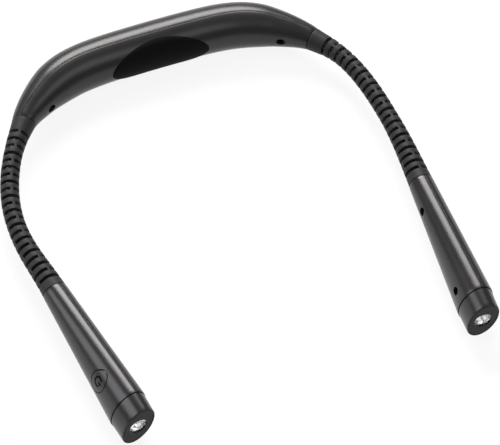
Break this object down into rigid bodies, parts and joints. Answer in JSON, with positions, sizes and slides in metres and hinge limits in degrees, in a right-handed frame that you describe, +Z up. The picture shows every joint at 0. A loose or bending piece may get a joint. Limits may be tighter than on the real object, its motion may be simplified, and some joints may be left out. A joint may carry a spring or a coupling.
{
  "type": "neck reading light",
  "caption": "Hands-free reading light worn round the neck: thick padded back band, slotted flexible arms and oval lamp tubes with lens ends.",
  "frame": {"origin": "middle of the light's outline seen from above, on the surface it lies on", "axes": "+X to the wearer's left (the right side of the picture), +Y from the lamp tips towards the back of the neck, +Z up with the light lying flat"},
  "size_m": [0.2116, 0.2378, 0.0252],
  "materials": {
    "shell_plastic": "satin charcoal moulding",
    "pad_silicone": "matt soft pad",
    "sheath_rubber": "satin moulded elastomer",
    "core_cover": "glossy gooseneck cover",
    "screw_steel": "plated self-tapping screws",
    "cell_sleeve": "shrink sleeve over a steel can",
    "board": "green solder mask",
    "socket_metal": "plated charging socket",
    "tube_plastic": "glossy charcoal moulding",
    "cap_plastic": "charcoal moulding with a fine matt face",
    "button_plastic": "charcoal moulding with a printed symbol",
    "lens_plastic": "clear moulded lens",
    "reflector_metal": "vacuum-plated cup",
    "led_phosphor": "light source with a clear dome",
    "switch_plastic": "push switch housing",
    "lead_sleeve": "insulated lead"
  },
  "bodies": {
    "band": {"band_outer_shell": "shell_plastic", "band_inner_shell": "shell_plastic", "neck_pad": "pad_silicone", "band_screws": "screw_steel", "battery_cell": "cell_sleeve", "charge_board": "board", "charge_socket": "socket_metal", "flex_root_left": "sheath_rubber", "flex_root_right": "sheath_rubber", "gooseneck_core_left": "core_cover", "gooseneck_core_right": "core_cover"},
    "link_left_1": {"flex_link_left_1": "sheath_rubber"},
    "link_left_2": {"flex_link_left_2": "sheath_rubber"},
    "link_left_3": {"flex_link_left_3": "sheath_rubber"},
    "link_left_4": {"flex_link_left_4": "sheath_rubber"},
    "link_left_5": {"flex_link_left_5": "sheath_rubber"},
    "link_left_6": {"flex_link_left_6": "sheath_rubber"},
    "link_left_7": {"flex_link_left_7": "sheath_rubber"},
    "lamp_left": {"flex_tip_left": "sheath_rubber", "tube_outer_shell_left": "tube_plastic", "tube_inner_shell_left": "tube_plastic", "tube_screws_left": "screw_steel", "lamp_cap_left": "cap_plastic", "lens_left": "lens_plastic", "reflector_left": "reflector_metal", "led_left": "led_phosphor", "lamp_board_left": "board", "lead_left": "lead_sleeve", "switch_board": "board", "push_switch": "switch_plastic"},
    "button": {"power_button": "button_plastic"},
    "link_right_1": {"flex_link_right_1": "sheath_rubber"},
    "link_right_2": {"flex_link_right_2": "sheath_rubber"},
    "link_right_3": {"flex_link_right_3": "sheath_rubber"},
    "link_right_4": {"flex_link_right_4": "sheath_rubber"},
    "link_right_5": {"flex_link_right_5": "sheath_rubber"},
    "link_right_6": {"flex_link_right_6": "sheath_rubber"},
    "link_right_7": {"flex_link_right_7": "sheath_rubber"},
    "lamp_right": {"flex_tip_right": "sheath_rubber", "tube_outer_shell_right": "tube_plastic", "tube_inner_shell_right": "tube_plastic", "tube_screws_right": "screw_steel", "lamp_cap_right": "cap_plastic", "lens_right": "lens_plastic", "reflector_right": "reflector_metal", "led_right": "led_phosphor", "lamp_board_right": "board", "lead_right": "lead_sleeve"}
  },
  "joints": [
    {"name": "spread_left_1", "type": "hinge", "parent": "band", "child": "link_left_1", "pos_m": [-0.08255, 0.0717, 0.01262], "axis": [-0.1724, 0.1162, -0.9781], "range_deg": [-6, 10], "deforming": ["gooseneck_core_left"]},
    {"name": "lift_left_1", "type": "hinge", "parent": "link_left_1", "child": "link_left_2", "pos_m": [-0.08952, 0.05966, 0.01259], "axis": [-0.8693, 0.4331, 0.238], "range_deg": [-10, 10], "deforming": ["gooseneck_core_left"]},
    {"name": "spread_left_2", "type": "hinge", "parent": "link_left_2", "child": "link_left_3", "pos_m": [-0.09498, 0.04686, 0.01257], "axis": [-0.2517, 0.0919, -0.9634], "range_deg": [-6, 10], "deforming": ["gooseneck_core_left"]},
    {"name": "lift_left_2", "type": "hinge", "parent": "link_left_3", "child": "link_left_4", "pos_m": [-0.09882, 0.03349, 0.01254], "axis": [-0.9339, 0.1983, 0.2976], "range_deg": [-10, 10], "deforming": ["gooseneck_core_left"]},
    {"name": "spread_left_3", "type": "hinge", "parent": "link_left_4", "child": "link_left_5", "pos_m": [-0.10067, 0.01971, 0.01252], "axis": [-0.3264, 0.0202, -0.945], "range_deg": [-6, 10], "deforming": ["gooseneck_core_left"]},
    {"name": "lift_left_3", "type": "hinge", "parent": "link_left_5", "child": "link_left_6", "pos_m": [-0.10048, 0.0058, 0.0125], "axis": [-0.9314, -0.0753, 0.356], "range_deg": [-10, 10], "deforming": ["gooseneck_core_left"]},
    {"name": "spread_left_4", "type": "hinge", "parent": "link_left_6", "child": "link_left_7", "pos_m": [-0.09862, -0.00799, 0.01247], "axis": [-0.3795, -0.0631, -0.923], "range_deg": [-6, 10], "deforming": ["gooseneck_core_left"]},
    {"name": "lift_left_4", "type": "hinge", "parent": "link_left_7", "child": "lamp_left", "pos_m": [-0.09624, -0.0217, 0.01245], "axis": [-0.8999, -0.1396, 0.4131], "range_deg": [-10, 10], "deforming": ["gooseneck_core_left"]},
    {"name": "button_press", "type": "slide", "parent": "lamp_left", "child": "button", "axis": [0.9015, 0.129, -0.4131], "range_m": [0, 0.0006], "stiffness_N_per_m": 3000},
    {"name": "lift_right_1", "type": "hinge", "parent": "band", "child": "link_right_1", "pos_m": [0.08905, 0.0717, 0.01262], "axis": [-0.8284, -0.5201, -0.2079], "range_deg": [-10, 10], "deforming": ["gooseneck_core_right"]},
    {"name": "spread_right_1", "type": "hinge", "parent": "link_right_1", "child": "link_right_2", "pos_m": [0.09479, 0.05905, 0.01262], "axis": [-0.1372, -0.0442, 0.9896], "range_deg": [-6, 10], "deforming": ["gooseneck_core_right"]},
    {"name": "lift_right_2", "type": "hinge", "parent": "link_right_2", "child": "link_right_3", "pos_m": [0.09795, 0.04551, 0.01262], "axis": [-0.9832, -0.1643, -0.0797], "range_deg": [-10, 10], "deforming": ["gooseneck_core_right"]},
    {"name": "spread_right_2", "type": "hinge", "parent": "link_right_3", "child": "link_right_4", "pos_m": [0.0996, 0.03169, 0.01262], "axis": [-0.0149, -0.0012, 0.9999], "range_deg": [-6, 10], "deforming": ["gooseneck_core_right"]},
    {"name": "lift_right_3", "type": "hinge", "parent": "link_right_4", "child": "link_right_5", "pos_m": [0.10037, 0.01779, 0.01262], "axis": [-0.9982, -0.0332, 0.0498], "range_deg": [-10, 10], "deforming": ["gooseneck_core_right"]},
    {"name": "spread_right_3", "type": "hinge", "parent": "link_right_5", "child": "link_right_6", "pos_m": [0.10051, 0.00387, 0.01262], "axis": [0.1144, -0.0016, 0.9934], "range_deg": [-6, 10], "deforming": ["gooseneck_core_right"]},
    {"name": "lift_right_4", "type": "hinge", "parent": "link_right_6", "child": "link_right_7", "pos_m": [0.09998, -0.01004, 0.01262], "axis": [-0.9824, 0.0553, 0.1786], "range_deg": [-10, 10], "deforming": ["gooseneck_core_right"]},
    {"name": "spread_right_4", "type": "hinge", "parent": "link_right_7", "child": "lamp_right", "pos_m": [0.09909, -0.02393, 0.01262], "axis": [0.2414, -0.0154, 0.9703], "range_deg": [-6, 10], "deforming": ["gooseneck_core_right"]}
  ],
  "couplings": [
    {"joint": "spread_left_2", "follows": "spread_left_1", "ratio": 1},
    {"joint": "lift_left_2", "follows": "lift_left_1", "ratio": 1},
    {"joint": "spread_left_3", "follows": "spread_left_1", "ratio": 1},
    {"joint": "lift_left_3", "follows": "lift_left_1", "ratio": 1},
    {"joint": "spread_left_4", "follows": "spread_left_1", "ratio": 1},
    {"joint": "lift_left_4", "follows": "lift_left_1", "ratio": 1},
    {"joint": "lift_right_2", "follows": "lift_right_1", "ratio": 1},
    {"joint": "spread_right_2", "follows": "spread_right_1", "ratio": 1},
    {"joint": "lift_right_3", "follows": "lift_right_1", "ratio": 1},
    {"joint": "spread_right_3", "follows": "spread_right_1", "ratio": 1},
    {"joint": "lift_right_4", "follows": "lift_right_1", "ratio": 1},
    {"joint": "spread_right_4", "follows": "spread_right_1", "ratio": 1}
  ]
}
